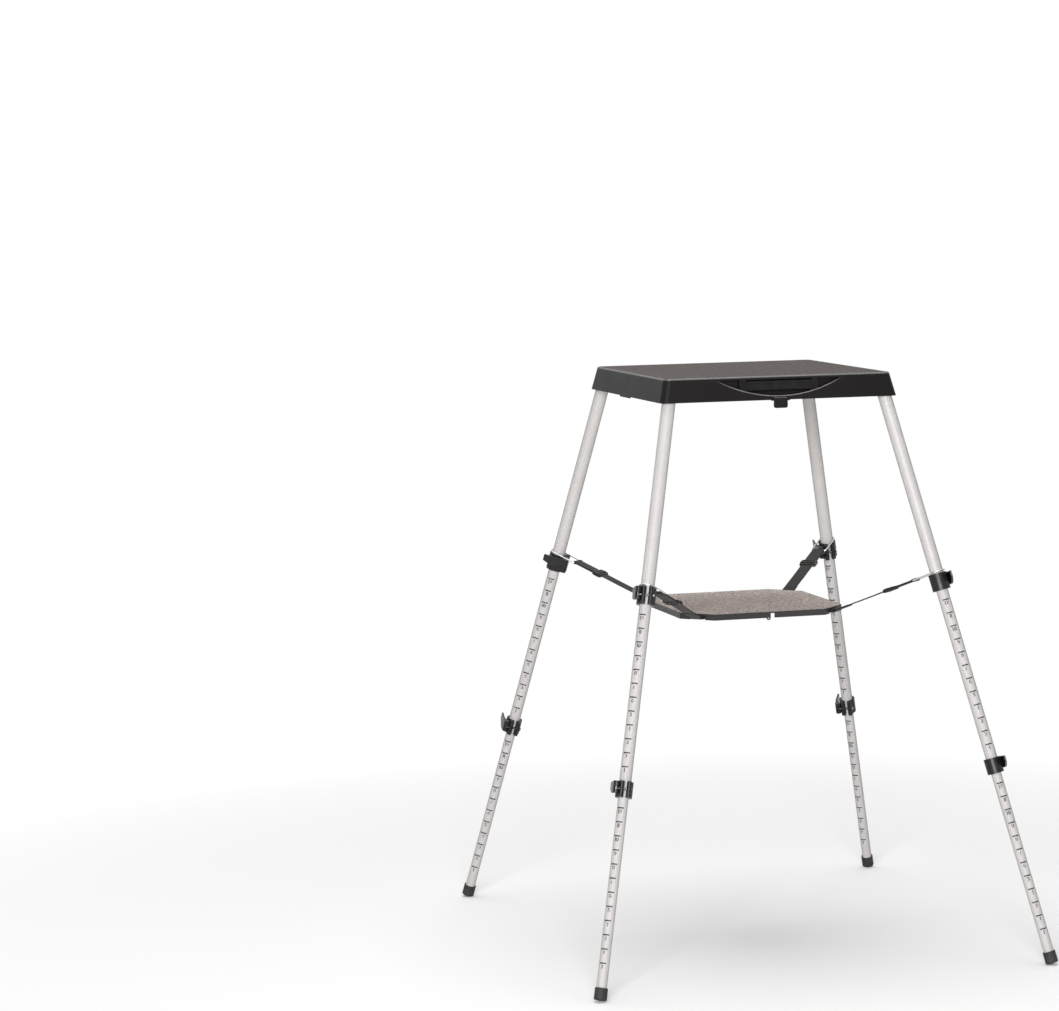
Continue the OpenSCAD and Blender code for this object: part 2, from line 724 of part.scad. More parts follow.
module shelf_tray() {
    notch = anchor_half + anchor_arm_t + seat_gap;
    color(grey_shelf) {
        difference() {
            translate([0, 0, shelf_z - shelf_rim]) linear_extrude(shelf_rim) shelf_outline(0);
            translate([0, 0, shelf_z - shelf_rim - overrun])
                linear_extrude(shelf_rim - shelf_wall + overrun) shelf_outline(shelf_wall);
            for (i = [0 : 3]) at_chamfer(i)
                translate([-shelf_wall - overrun, -notch, -shelf_rim - overrun])
                    cube([shelf_wall + 2 * overrun, 2 * notch, shelf_rim - shelf_lip + overrun]);
            translate([0, -shelf_d / 2 - overrun, shelf_z - shelf_rim - overrun])
                cube([notch_w, shelf_wall + 2 * overrun, shelf_rim - shelf_wall + overrun]);
        }
        translate([0, (shelf_wall - shelf_d) / 2, shelf_z - shelf_rim]) {
            cylinder(h = shelf_rim - shelf_wall / 2, r = hook_d / 2);
            translate([-hook_r, 0, 0]) rotate([90, 0, 0]) rotate([0, 0, 180]) rotate_extrude(angle = 180)
                translate([hook_r, 0]) circle(r = hook_d / 2);
            translate([-2 * hook_r, 0, 0]) sphere(r = hook_d / 2);
        }
    }
}

// A bracket under each cut corner of the shelf. Its arms come out through the notch in the rim
// and carry a bar for the webbing.
module strap_anchors() {
    span = 2 * (anchor_half + anchor_arm_t);
    arm_top = -shelf_lip - seat_gap;
    arm_low = -anchor_drop - bar_d / 2 - sleeve_gap;
    arm_start = -shelf_wall - anchor_plate_len / 2;
    arm_end = anchor_stand + span / 2 * tan(abs(strap_skew)) + bar_d / 2 + sleeve_gap;
    bar_len = (2 * anchor_half + anchor_arm_t) / cos(strap_skew);
    color(black_plastic) for (i = [0 : 3]) at_chamfer(i) {
        translate([-shelf_wall - anchor_plate_len, -span / 2, -shelf_wall - anchor_plate_t])
            cube([anchor_plate_len, span, anchor_plate_t]);
        for (y = [-span / 2, span / 2 - anchor_arm_t])
            translate([arm_start, y, arm_low]) cube([arm_end - arm_start, anchor_arm_t, arm_top - arm_low]);
        translate([anchor_stand, 0, -anchor_drop]) rotate([0, 0, strap_skew]) rotate([90, 0, 0])
            translate([0, 0, -bar_len / 2]) cylinder(h = bar_len, r = bar_d / 2);
    }
}

// Webbing round a bar of radius r
module strap_sleeve(r) {
    rotate([90, 0, 0]) translate([0, 0, -strap_w / 2]) difference() {
        cylinder(h = strap_w, r = r + sleeve_gap + strap_t);
        translate([0, 0, -overrun]) cylinder(h = strap_w + 2 * overrun, r = r + sleeve_gap);
    }
}

// One ply of webbing from x to x_end, at height z
module strap_ply(x, x_end, z) {
    translate([x, -strap_w / 2, z - strap_t / 2]) cube([x_end - x, strap_w, strap_t]);
}

// Four straps: one ply from the shelf to the buckle, and two from the buckle to the wire loop
module shelf_straps() {
    near = bar_d / 2 + sleeve_gap + strap_t / 2;
    far = loop_bar_x - wire_d / 2 - sleeve_gap - strap_t / 2;
    apart = (strap_t + ply_gap) / 2;
    color(dark_webbing) for (i = [0 : 3]) at_strap(i) {
        strap_sleeve(bar_d / 2);
        strap_ply(near, buckle_at(i) + buckle_len / 4, 0);
        strap_ply(buckle_at(i) - buckle_len / 4, far, apart);
        strap_ply(buckle_at(i) - buckle_len / 4, far, -apart);
        translate([loop_bar_x, 0, 0]) strap_sleeve(wire_d / 2);
    }
}

module strap_buckles() {
    wide = strap_w + 2 * (sleeve_gap + buckle_side);
    inside_t = 2 * strap_t + ply_gap + sleeve_gap;
    color(black_lever) for (i = [0 : 3]) at_strap(i) translate([buckle_at(i), 0, 0]) difference() {
        translate([-buckle_len / 2, -wide / 2, -buckle_t / 2]) cube([buckle_len, wide, buckle_t]);
        translate([-buckle_len, buckle_side - wide / 2, -inside_t / 2])
            cube([2 * buckle_len, wide - 2 * buckle_side, inside_t]);
        for (x = [-buckle_len / 4, buckle_len / 4])
            translate([x - buckle_len / 12, buckle_side - wide / 2, 0])
                cube([buckle_len / 6, wide - 2 * buckle_side, buckle_t]);
    }
}

// Wire loops round the upper tubes, just above the clamps
module strap_loops() {
    r = wire_d / 2;
    bend = wire_d;
    straight = loop_side - bend;
    color(bright_steel) for (i = [0 : 3]) at_strap(i) {
        translate([strap_reach, 0, 0]) rotate([0, 0, -90]) rotate_extrude(angle = 180)
            translate([loop_side, 0]) circle(r = r);
        for (y = [-loop_side, loop_side]) translate([loop_bar_x + bend, y, 0]) rotate([0, 90, 0])
            cylinder(h = loop_len - bend, r = r);
        translate([loop_bar_x + bend, -straight, 0]) rotate([0, 0, 180]) rotate_extrude(angle = 90)
            translate([bend, 0]) circle(r = r);
        translate([loop_bar_x + bend, straight, 0]) rotate([0, 0, 90]) rotate_extrude(angle = 90)
            translate([bend, 0]) circle(r = r);
        translate([loop_bar_x, straight, 0]) rotate([90, 0, 0]) cylinder(h = 2 * straight, r = r);
    }
}

case_shell();
stiffener_board();
leg_sockets();
case_screws();
handle_grip();
hinge_pins();
latch_tab();
shelf_tray();
strap_anchors();
shelf_straps();
strap_buckles();
strap_loops();
upper_tube(0);  // upper_tube_fl
upper_clamp(0);  // upper_clamp_fl
upper_screw(0);  // upper_screw_fl
upper_lever(0);  // upper_lever_fl
mid_tube(0);  // mid_tube_fl
mid_bush(0);  // mid_bush_fl
lower_clamp(0);  // lower_clamp_fl
lower_screw(0);  // lower_screw_fl
lower_lever(0);  // lower_lever_fl
lower_tube(0);  // lower_tube_fl
lower_bush(0);  // lower_bush_fl
foot(0);  // foot_fl
upper_tube(1);  // upper_tube_fr
upper_clamp(1);  // upper_clamp_fr
upper_screw(1);  // upper_screw_fr
upper_lever(1);  // upper_lever_fr
mid_tube(1);  // mid_tube_fr
mid_bush(1);  // mid_bush_fr
lower_clamp(1);  // lower_clamp_fr
lower_screw(1);  // lower_screw_fr
lower_lever(1);  // lower_lever_fr
lower_tube(1);  // lower_tube_fr
lower_bush(1);  // lower_bush_fr
foot(1);  // foot_fr
upper_tube(2);  // upper_tube_bl
upper_clamp(2);  // upper_clamp_bl
upper_screw(2);  // upper_screw_bl
upper_lever(2);  // upper_lever_bl
mid_tube(2);  // mid_tube_bl
mid_bush(2);  // mid_bush_bl
lower_clamp(2);  // lower_clamp_bl
lower_screw(2);  // lower_screw_bl
lower_lever(2);  // lower_lever_bl
lower_tube(2);  // lower_tube_bl
lower_bush(2);  // lower_bush_bl
foot(2);  // foot_bl
upper_tube(3);  // upper_tube_br
upper_clamp(3);  // upper_clamp_br
upper_screw(3);  // upper_screw_br
upper_lever(3);  // upper_lever_br
mid_tube(3);  // mid_tube_br
mid_bush(3);  // mid_bush_br
lower_clamp(3);  // lower_clamp_br
lower_screw(3);  // lower_screw_br
lower_lever(3);  // lower_lever_br
lower_tube(3);  // lower_tube_br
lower_bush(3);  // lower_bush_br
foot(3);  // foot_br
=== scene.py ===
import math

import bpy
import bmesh
from mathutils import Matrix, Vector


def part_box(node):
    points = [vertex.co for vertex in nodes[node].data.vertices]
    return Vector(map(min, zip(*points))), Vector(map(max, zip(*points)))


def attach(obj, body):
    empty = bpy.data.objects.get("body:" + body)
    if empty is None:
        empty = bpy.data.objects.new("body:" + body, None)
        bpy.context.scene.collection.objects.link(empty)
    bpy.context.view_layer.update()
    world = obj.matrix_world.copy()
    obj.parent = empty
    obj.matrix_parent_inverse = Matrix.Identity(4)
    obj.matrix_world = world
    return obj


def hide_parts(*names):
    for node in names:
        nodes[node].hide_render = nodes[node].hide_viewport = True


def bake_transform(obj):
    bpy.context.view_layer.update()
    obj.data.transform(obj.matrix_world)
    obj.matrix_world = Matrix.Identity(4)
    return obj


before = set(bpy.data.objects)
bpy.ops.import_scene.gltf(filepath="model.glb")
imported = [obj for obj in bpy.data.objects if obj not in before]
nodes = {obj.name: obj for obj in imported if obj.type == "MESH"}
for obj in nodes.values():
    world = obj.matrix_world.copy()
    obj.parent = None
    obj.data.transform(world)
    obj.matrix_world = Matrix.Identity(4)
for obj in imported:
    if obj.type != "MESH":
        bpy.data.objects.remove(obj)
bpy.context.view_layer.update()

# Sizes in metres, as in the part's source. Corners: front left, front right, back left, back right.
MM = 0.001
INCH = 25.4 * MM
CORNERS = {"fl": (-1, -1), "fr": (1, -1), "bl": (-1, 1), "br": (1, 1)}
CASE_W = 445 * MM
CASE_H = 44 * MM
CASE_FLARE = 9.5 * MM
CASE_EDGE = 3 * MM
RECESS_W, RECESS_H, RECESS_TOP = 245 * MM, 31 * MM, 6 * MM
TILT, SPLAY = math.radians(18.2), math.radians(49.2)
LEG_XY = CASE_W / 2 + CASE_FLARE - 20 * MM
MID_R, LOWER_R = 11.1 * MM, 9.5 * MM
# these three are measured along a leg, from the case's lower edge
UPPER_END, MID_END = 378 * MM, 732 * MM
UPPER_CLAMP_TOP = UPPER_END + 2 * MM - 32 * MM
SHELF_W, SHELF_CHAMFER = 324 * MM, 52 * MM
SHELF_HANG = 77 * MM
ANCHOR_REACH, ANCHOR_DROP = 3.5 * MM, 6.7 * MM
BAR_R, WIRE_R = 2 * MM, 1.5 * MM
LOOP_LEN = 46 * MM
STRAP_W, STRAP_T = 25 * MM, 1.5 * MM
# from the wire loop's inner bar to the middle of the buckle
BUCKLE_BACK = {"fl": 69 * MM, "fr": 56 * MM, "bl": 56 * MM, "br": 56 * MM}

CASE_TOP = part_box("case_shell")[1].z
BASE_Z = CASE_TOP - CASE_H
SHELF_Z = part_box("shelf_tray")[1].z


# Shader helpers

def material(name, rough, base=(0.5, 0.5, 0.5), metallic=0.0, spec=0.5):
    """A material with a Principled shader, and its node tree and shader."""
    mat = bpy.data.materials.new(name)
    mat.use_nodes = True
    tree = mat.node_tree
    shader = tree.nodes["Principled BSDF"]
    shader.inputs["Base Color"].default_value = (*base, 1)
    shader.inputs["Roughness"].default_value = rough
    shader.inputs["Metallic"].default_value = metallic
    shader.inputs["Specular IOR Level"].default_value = spec
    return mat, tree, shader


def node(tree, kind, **values):
    """A new node with some of its inputs set."""
    n = tree.nodes.new(kind)
    for key, value in values.items():
        n.inputs[key].default_value = value
    return n


def feed(tree, socket, value):
    """Links another node's output to a socket, or sets the socket to a number or a colour."""
    if isinstance(value, bpy.types.NodeSocket):
        tree.links.new(value, socket)
    elif isinstance(value, tuple):
        socket.default_value = (*value, 1)
    else:
        socket.default_value = value


def calc(tree, operation, a, b=None):
    n = tree.nodes.new("ShaderNodeMath")
    n.operation = operation
    feed(tree, n.inputs[0], a)
    if b is not None:
        feed(tree, n.inputs[1], b)
    return n.outputs[0]


def weighted(tree, *terms):
    """The sum of sources, each times its weight."""
    total = None
    for source, weight in terms:
        part = calc(tree, "MULTIPLY", source, weight)
        total = part if total is None else calc(tree, "ADD", total, part)
    return total


def ramp(tree, source, *stops):
    """A colour ramp over stops of (position, colour)."""
    n = tree.nodes.new("ShaderNodeValToRGB")
    while len(n.color_ramp.elements) < len(stops):
        n.color_ramp.elements.new(0.5)
    for e, (p, c) in zip(n.color_ramp.elements, stops):
        e.position = p
        e.color = (*c, 1)
    tree.links.new(source, n.inputs["Fac"])
    return n.outputs["Color"]


def map_range(tree, source, a, b, c, d):
    """Takes the range a to b to the range c to d, and clamps it there."""
    n = tree.nodes.new("ShaderNodeMapRange")
    for key, v in zip(("From Min", "From Max", "To Min", "To Max"), (a, b, c, d)):
        n.inputs[key].default_value = v
    tree.links.new(source, n.inputs["Value"])
    return n.outputs["Result"]


def mix_colour(tree, fac, a, b):
    n = tree.nodes.new("ShaderNodeMix")
    n.data_type = "RGBA"
    for socket, v in ((n.inputs[0], fac), (n.inputs[6], a), (n.inputs[7], b)):
        feed(tree, socket, v)
    return n.outputs[2]


def mix_floats(tree, fac, a, b):
    n = tree.nodes.new("ShaderNodeMix")
    for socket, v in ((n.inputs[0], fac), (n.inputs[2], a), (n.inputs[3], b)):
        feed(tree, socket, v)
    return n.outputs[0]


def coords(tree, kind="Object"):
    return tree.nodes.new("ShaderNodeTexCoord").outputs[kind]


def split(tree, source):
    """The X, Y and Z of a place."""
    n = tree.nodes.new("ShaderNodeSeparateXYZ")
    tree.links.new(source, n.inputs[0])
    return n.outputs["X"], n.outputs["Y"], n.outputs["Z"]


def noise(tree, where, scale, detail=2.0, rough=0.5):
    n = node(tree, "ShaderNodeTexNoise", Scale=scale, Detail=detail, Roughness=rough)
    tree.links.new(where, n.inputs["Vector"])
    return n.outputs["Fac"]


def granules(tree, at, scale, fine_scale):
    """The height of the granular tops: clumps and cells of one size, with finer grit between them."""
    cells = node(tree, "ShaderNodeTexVoronoi", Scale=scale)
    tree.links.new(at, cells.inputs["Vector"])
    return weighted(tree, (noise(tree, at, scale, 3), 0.7), (cells.outputs["Distance"], 0.35),
                    (noise(tree, at, fine_scale), 0.1))


def band(tree, z, at, half):
    """1 within half of a height, and 0 away from it."""
    away = calc(tree, "ABSOLUTE", calc(tree, "SUBTRACT", z, at))
    return map_range(tree, away, half * 0.3, half, 1, 0)


def bump(tree, shader, height, distance, strength=1.0, after=None):
    """Relief on the shader. A second bump goes after the first one's normal, which this returns."""
    n = node(tree, "ShaderNodeBump", Strength=strength, Distance=distance)
    tree.links.new(height, n.inputs["Height"])
    if after is not None:
        tree.links.new(after, n.inputs["Normal"])
    tree.links.new(n.outputs["Normal"], shader.inputs["Normal"])
    return n.outputs["Normal"]


def looking_ray(tree):
    """1 for rays from the camera, from a mirroring surface or through glass, and 0 for diffuse light."""
    path = tree.nodes.new("ShaderNodeLightPath")
    bent = calc(tree, "MAXIMUM", path.outputs["Is Glossy Ray"], path.outputs["Is Transmission Ray"])
    return calc(tree, "MAXIMUM", path.outputs["Is Camera Ray"], bent)


# Materials

def case_plastic():
    """Black moulded plastic. The table top is granular and grey-brown inside a smooth rim."""
    mat, tree, shader = material("case_plastic", rough=0.45, spec=0.16)
    at = coords(tree)
    x, y, z = split(tree, at)
    side = calc(tree, "MAXIMUM", calc(tree, "ABSOLUTE", x), calc(tree, "ABSOLUTE", y))
    inside = map_range(tree, side, CASE_W / 2 - 4.2 * MM, CASE_W / 2 - 3.4 * MM, 1, 0)
    high = map_range(tree, z, CASE_TOP - 0.6 * MM, CASE_TOP - 0.3 * MM, 0, 1)
    top = calc(tree, "MULTIPLY", inside, high)
    speck = granules(tree, at, 190, 900)
    top_colour = ramp(tree, speck, (0.25, (0.018, 0.015, 0.014)), (0.5, (0.055, 0.047, 0.044)),
                      (0.75, (0.11, 0.097, 0.092)))
    skin = ramp(tree, noise(tree, at, 9, 3), (0.3, (0.005, 0.0043, 0.0043)),
                (0.75, (0.0075, 0.0064, 0.0063)))
    # the rounded rim of the top gets a painted highlight: a lighter colour than the black skin, and a
    # stronger specular
    edge = map_range(tree, z, CASE_TOP - 3 * MM, CASE_TOP - 2.2 * MM, 0, 1)
    edge = calc(tree, "MULTIPLY", edge, calc(tree, "SUBTRACT", 1.0, top))
    skin = mix_colour(tree, edge, skin, (0.03, 0.028, 0.028))
    feed(tree, shader.inputs["Specular IOR Level"], map_range(tree, edge, 0, 1, 0.09, 1.0))
    feed(tree, shader.inputs["Base Color"], mix_colour(tree, top, skin, top_colour))
    rubbed = map_range(tree, noise(tree, at, 26, 4, 0.6), 0.3, 0.75, 0.415, 0.455)
    rugged = map_range(tree, speck, 0.2, 0.8, 0.62, 0.82)
    feed(tree, shader.inputs["Roughness"], mix_floats(tree, top, rubbed, rugged))
    # orange peel, the grooves under the rim and above the lower edge, and the granules
    peel = bump(tree, shader, noise(tree, at, 900, 1), 0.05 * MM, 0.6)
    grooves = calc(tree, "ADD", band(tree, z, CASE_TOP - 5.2 * MM, 0.5 * MM),
                   band(tree, z, BASE_Z + 2.6 * MM, 0.6 * MM))
    grooved = bump(tree, shader, grooves, -0.3 * MM, 0.8, peel)
    bump(tree, shader, calc(tree, "MULTIPLY", speck, top), 1.4 * MM, 1.0, grooved)
    return mat


def shelf_plastic():
    """The shelf's granular grey-brown top, with its smooth black rim."""
    mat, tree, shader = material("shelf_plastic", rough=0.5, spec=0.3)
    at = coords(tree)
    x, y, z = split(tree, at)
    ax, ay = calc(tree, "ABSOLUTE", x), calc(tree, "ABSOLUTE", y)
    # how far a point lies outside the straight sides and the cut corners, negative inside
    straight = calc(tree, "SUBTRACT", calc(tree, "MAXIMUM", ax, ay), SHELF_W / 2)
    slant = calc(tree, "SUBTRACT", calc(tree, "ADD", ax, ay), SHELF_W - SHELF_CHAMFER)
    side = calc(tree, "MAXIMUM", straight, calc(tree, "MULTIPLY", slant, 0.7071))
    inside = map_range(tree, side, -2.2 * MM, -1.4 * MM, 1, 0)
    high = map_range(tree, z, SHELF_Z - 0.5 * MM, SHELF_Z - 0.2 * MM, 0, 1)
    top = calc(tree, "MULTIPLY", inside, high)
    speck = granules(tree, at, 170, 800)
    tone = noise(tree, at, 14, 3)
    grey = ramp(tree, speck, (0.28, (0.13, 0.11, 0.105)), (0.5, (0.4, 0.35, 0.335)),
                (0.72, (0.78, 0.7, 0.67)))
    dusk = mix_colour(tree, map_range(tree, tone, 0.35, 0.75, 0.0, 0.22), grey, (0.2, 0.18, 0.17))
    skin = ramp(tree, tone, (0.3, (0.011, 0.01, 0.0105)), (0.75, (0.018, 0.0165, 0.0165)))
    feed(tree, shader.inputs["Base Color"], mix_colour(tree, top, skin, dusk))
    rubbed = map_range(tree, tone, 0.3, 0.75, 0.38, 0.5)
    rugged = map_range(tree, speck, 0.2, 0.8, 0.65, 0.85)
    feed(tree, shader.inputs["Roughness"], mix_floats(tree, top, rubbed, rugged))
    peel = bump(tree, shader, noise(tree, at, 900, 1), 0.05 * MM, 0.6)
    bump(tree, shader, calc(tree, "MULTIPLY", speck, top), 1.6 * MM, 1.0, peel)
    return mat


def moulded_black(name, base, rough, spec):
    """Black moulded plastic with a faint orange peel and rubbed patches."""
    mat, tree, shader = material(name, rough, spec=spec)
    at = coords(tree)
    dark = tuple(0.75 * v for v in base)
    light = tuple(1.5 * v for v in base)
    feed(tree, shader.inputs["Base Color"],
         ramp(tree, noise(tree, at, 45, 3), (0.3, dark), (0.75, light)))
    rub = noise(tree, at, 120, 4, 0.6)
    feed(tree, shader.inputs["Roughness"],
         map_range(tree, rub, 0.3, 0.75, rough - 0.07, rough + 0.1))
    bump(tree, shader, noise(tree, at, 1500, 1), 0.04 * MM, 0.5)
    return mat


def tube_metal(name, base, rough, streak, grain_scale):
    """Satin anodised tube. Its milky skin scatters most of the light, and little is mirrored."""
    mat, tree, shader = material(name, rough, metallic=0.06, spec=0.0)
    at = coords(tree)
    fleck = noise(tree, at, grain_scale)
    both = weighted(tree, (fleck, streak), (noise(tree, at, 30, 3), 0.4))
    low = tuple(0.88 * v for v in base)
    high = tuple(1.08 * v for v in base)
    feed(tree, shader.inputs["Base Color"], ramp(tree, both, (0.25, low), (0.75, high)))
    feed(tree, shader.inputs["Roughness"],
         map_range(tree, both, 0.2, 0.8, rough - 0.06, rough + 0.07))
    bump(tree, shader, fleck, 0.012 * MM, 0.4)
    return mat


def plated_steel(name, low, high):
    """Plated steel with a cloudy shine, between two greys."""
    mat, tree, shader = material(name, rough=0.22, metallic=1.0)
    at = coords(tree)
    cloud = noise(tree, at, 160, 3)
    feed(tree, shader.inputs["Base Color"], ramp(tree, cloud, (0.3, (low,) * 3), (0.7, (high,) * 3)))
    feed(tree, shader.inputs["Roughness"], map_range(tree, cloud, 0.3, 0.7, 0.16, 0.3))
    bump(tree, shader, noise(tree, at, 900), 0.02 * MM, 0.4)
    return mat


def rubber():
    """Black rubber with a little dust."""
    mat, tree, shader = material("foot_rubber", rough=0.7, spec=0.25)
    at = coords(tree)
    dust = noise(tree, at, 70, 4, 0.6)
    feed(tree, shader.inputs["Base Color"],
         ramp(tree, dust, (0.35, (0.011, 0.011, 0.011)), (0.8, (0.03, 0.029, 0.028))))
    feed(tree, shader.inputs["Roughness"], map_range(tree, dust, 0.3, 0.8, 0.6, 0.8))
    bump(tree, shader, noise(tree, at, 1100), 0.06 * MM, 0.6)
    return mat


def plywood():
    """Pale wood with its grain along X."""
    mat, tree, shader = material("plywood", rough=0.6, spec=0.3)
    stretch = node(tree, "ShaderNodeMapping", Scale=(6, 60, 200))
    tree.links.new(coords(tree), stretch.inputs["Vector"])
    grain = noise(tree, stretch.outputs[0], 3, 6, 0.65)
    feed(tree, shader.inputs["Base Color"],
         ramp(tree, grain, (0.3, (0.42, 0.28, 0.15)), (0.55, (0.62, 0.46, 0.28)),
              (0.8, (0.7, 0.55, 0.36))))
    bump(tree, shader, grain, 0.12 * MM, 0.5)
    return mat


def nylon():
    """Undyed nylon, slightly cloudy."""
    mat, tree, shader = material("natural_nylon", rough=0.4, spec=0.4)
    cloud = noise(tree, coords(tree), 90, 3)
    feed(tree, shader.inputs["Base Color"],
         ramp(tree, cloud, (0.3, (0.76, 0.74, 0.66)), (0.7, (0.84, 0.82, 0.76))))
    bump(tree, shader, cloud, 0.04 * MM, 0.5)
    return mat


def webbing():
    """Woven dark webbing. U runs across the strap and V along it, both in metres."""
    mat, tree, shader = material("webbing", rough=0.85, spec=0.2)
    u, v, _ = split(tree, coords(tree, "UV"))
    across = calc(tree, "MULTIPLY", u, math.tau / (1.9 * MM))
    along = calc(tree, "MULTIPLY", v, math.tau / (1.5 * MM))
    twill = calc(tree, "SINE", calc(tree, "ADD", across, along))
    weave = calc(tree, "MULTIPLY", calc(tree, "SINE", across), twill)
    raised = map_range(tree, weave, -1, 1, 0, 1)
    place = coords(tree)
    wear = noise(tree, place, 45, 4, 0.6)
    mixed = weighted(tree, (raised, 0.55), (noise(tree, place, 1700, 3), 0.45))
    cloth = ramp(tree, mixed, (0.15, (0.008, 0.007, 0.0065)), (0.5, (0.022, 0.0195, 0.018)),
                 (0.85, (0.045, 0.04, 0.037)))
    worn = mix_colour(tree, map_range(tree, wear, 0.45, 0.8, 0.0, 0.3), cloth, (0.055, 0.049, 0.046))
    # the selvedges are plain and darker
    from_middle = calc(tree, "ABSOLUTE", calc(tree, "SUBTRACT", u, STRAP_W / 2))
    selvedge = map_range(tree, from_middle, STRAP_W / 2 - 2.2 * MM, STRAP_W / 2 - 1.2 * MM, 0, 1)
    feed(tree, shader.inputs["Base Color"],
         mix_colour(tree, calc(tree, "MULTIPLY", selvedge, 0.8), worn, (0.016, 0.0145, 0.0135)))
    feed(tree, shader.inputs["Roughness"], map_range(tree, mixed, 0.2, 0.8, 0.75, 0.95))
    shader.inputs["Sheen Weight"].default_value = 0.05
    shader.inputs["Sheen Roughness"].default_value = 0.5
    bump(tree, shader, mixed, 0.3 * MM, 0.8)
    return mat


def ink():
    """Printed black ink, slightly worn."""
    mat, tree, shader = material("scale_ink", rough=0.55, spec=0.3)
    worn = noise(tree, coords(tree), 500, 3)
    feed(tree, shader.inputs["Base Color"],
         ramp(tree, worn, (0.35, (0.008, 0.008, 0.009)), (0.8, (0.03, 0.03, 0.032))))
    feed(tree, shader.inputs["Roughness"], map_range(tree, worn, 0.3, 0.8, 0.45, 0.65))
    return mat


def thread():
    """Dark sewing thread, a little lighter than the webbing."""
    mat, tree, shader = material("stitch_thread", rough=0.75, spec=0.25)
    ply = noise(tree, coords(tree), 2500)
    feed(tree, shader.inputs["Base Color"],
         ramp(tree, ply, (0.3, (0.02, 0.018, 0.017)), (0.75, (0.07, 0.064, 0.06))))
    bump(tree, shader, ply, 0.1 * MM, 0.7)
    return mat


CASE = case_plastic()
SHELF = shelf_plastic()
CLAMP = moulded_black("clamp_plastic", (0.0075, 0.007, 0.007), 0.33, 0.22)
LEVER = moulded_black("lever_plastic", (0.0065, 0.006, 0.006), 0.3, 0.25)
HANDLE = moulded_black("handle_plastic", (0.006, 0.0053, 0.0053), 0.42, 0.12)
# the lip's plastic is painted ten times lighter than the other blacks, a painted highlight along the
# recess's bead
LIP_PAINTED_HIGHLIGHT = moulded_black("lip_plastic_painted_highlight", (0.06, 0.056, 0.055), 0.25, 1.0)
UPPER = tube_metal("satin_tube", (0.38, 0.367, 0.362), 0.42, 0.35, 900)
FROST = tube_metal("frosted_tube", (0.345, 0.334, 0.33), 0.5, 0.7, 700)
STEEL = plated_steel("plated_steel", 0.5, 0.68)
SCREW = plated_steel("blackened_steel", 0.06, 0.14)
RUBBER = rubber()
PLYWOOD = plywood()
NYLON = nylon()
WEB = webbing()
INK = ink()
THREAD = thread()


# The CAD nodes' finish

WELD_GAP = 0.002 * MM
CREASE = 36  # degrees from which an edge stays sharp


def rounds(o, width, angle):
    """Small rounds on the edges that turn by more than the angle."""
    m = o.modifiers.new("rounds", "BEVEL")
    m.width = width
    m.segments = 2
    m.limit_method = "ANGLE"
    m.angle_limit = math.radians(angle)
    m.use_clamp_overlap = True


def dress(name, mat, width=0.0):
    """Gives a CAD node its material, smooth shading, and rounds on its edges if width isn't 0."""
    o = nodes[name]
    o.data.materials.clear()
    o.data.materials.append(mat)
    o.data.shade_smooth()
    # the import's own normals would show each facet
    o.data.normals_split_custom_set([(0.0, 0.0, 0.0)] * len(o.data.loops))
    weld = o.modifiers.new("weld", "WELD")
    weld.merge_threshold = WELD_GAP
    if width:
        rounds(o, width, 35)
    creases = o.modifiers.new("creases", "EDGE_SPLIT")
    creases.split_angle = math.radians(CREASE)
    even = o.modifiers.new("even", "WEIGHTED_NORMAL")
    even.keep_sharp = True


dress("case_shell", CASE)
dress("stiffener_board", PLYWOOD)
dress("leg_sockets", HANDLE)
dress("case_screws", STEEL)
dress("handle_grip", HANDLE, 0.6 * MM)
dress("hinge_pins", STEEL)
dress("latch_tab", HANDLE, 0.5 * MM)
dress("shelf_tray", SHELF, 0.5 * MM)
dress("strap_anchors", CLAMP, 0.3 * MM)
dress("strap_loops", STEEL)
for c in CORNERS:
    dress(f"upper_tube_{c}", UPPER)
    dress(f"foot_{c}", RUBBER)
    for part in ("mid", "lower"):
        dress(f"{part}_tube_{c}", FROST)
        dress(f"{part}_bush_{c}", NYLON)
    for part in ("upper", "lower"):
        dress(f"{part}_clamp_{c}", CLAMP, 0.7 * MM)
        dress(f"{part}_screw_{c}", SCREW)
        dress(f"{part}_lever_{c}", LEVER, 0.6 * MM)


# Mesh helpers

def new_piece(name, verts, faces, mat, body, uv=None, smooth=True):
    """A mesh object that rides on a body where one is given. uv has a list of points for each face."""
    mesh = bpy.data.meshes.new(name)
    mesh.from_pydata([tuple(v) for v in verts], [], faces)
    if uv:
        layer = mesh.uv_layers.new(name="UVMap")
        for poly in mesh.polygons:
            for k, li in enumerate(poly.loop_indices):
                layer.data[li].uv = uv[poly.index][k]
    mesh.materials.append(mat)
    mesh.validate()
    if smooth:
        mesh.shade_smooth()
    o = bpy.data.objects.new(name, mesh)
    bpy.context.scene.collection.objects.link(o)
    if body:
        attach(o, body)
    return o


def close_rings(faces, start, rings, n):
    """Faces between rings of n points that follow each other from start, then the two end caps.
    They look outwards where the points run clockwise, seen from the last ring."""
    for i in range(rings - 1):
        a, b = start + i * n, start + (i + 1) * n
        for k in range(n):
            j = (k + 1) % n
            faces.append([a + k, b + k, b + j, a + j])
    faces.append([start + k for k in range(n)])
    faces.append([start + (rings - 1) * n + k for k in reversed(range(n))])


class Frame:
    """An origin and three axes."""

    def __init__(self, o, x, y, z):
        self.o, self.x, self.y, self.z = (Vector(v) for v in (o, x, y, z))

    def at(self, x, y, z):
        return self.o + self.x * x + self.y * y + self.z * z


def leg_frame(c):
    """Z up along the leg's axis from the case's lower edge, X away from the middle of the stand."""
    sx, sy = CORNERS[c]
    a = math.atan2(sy * math.sin(SPLAY), sx * math.cos(SPLAY))
    turn = Matrix.Rotation(a, 3, "Z") @ Matrix.Rotation(-TILT, 3, "Y")
    return Frame((sx * LEG_XY, sy * LEG_XY, BASE_Z), turn.col[0], turn.col[1], turn.col[2])


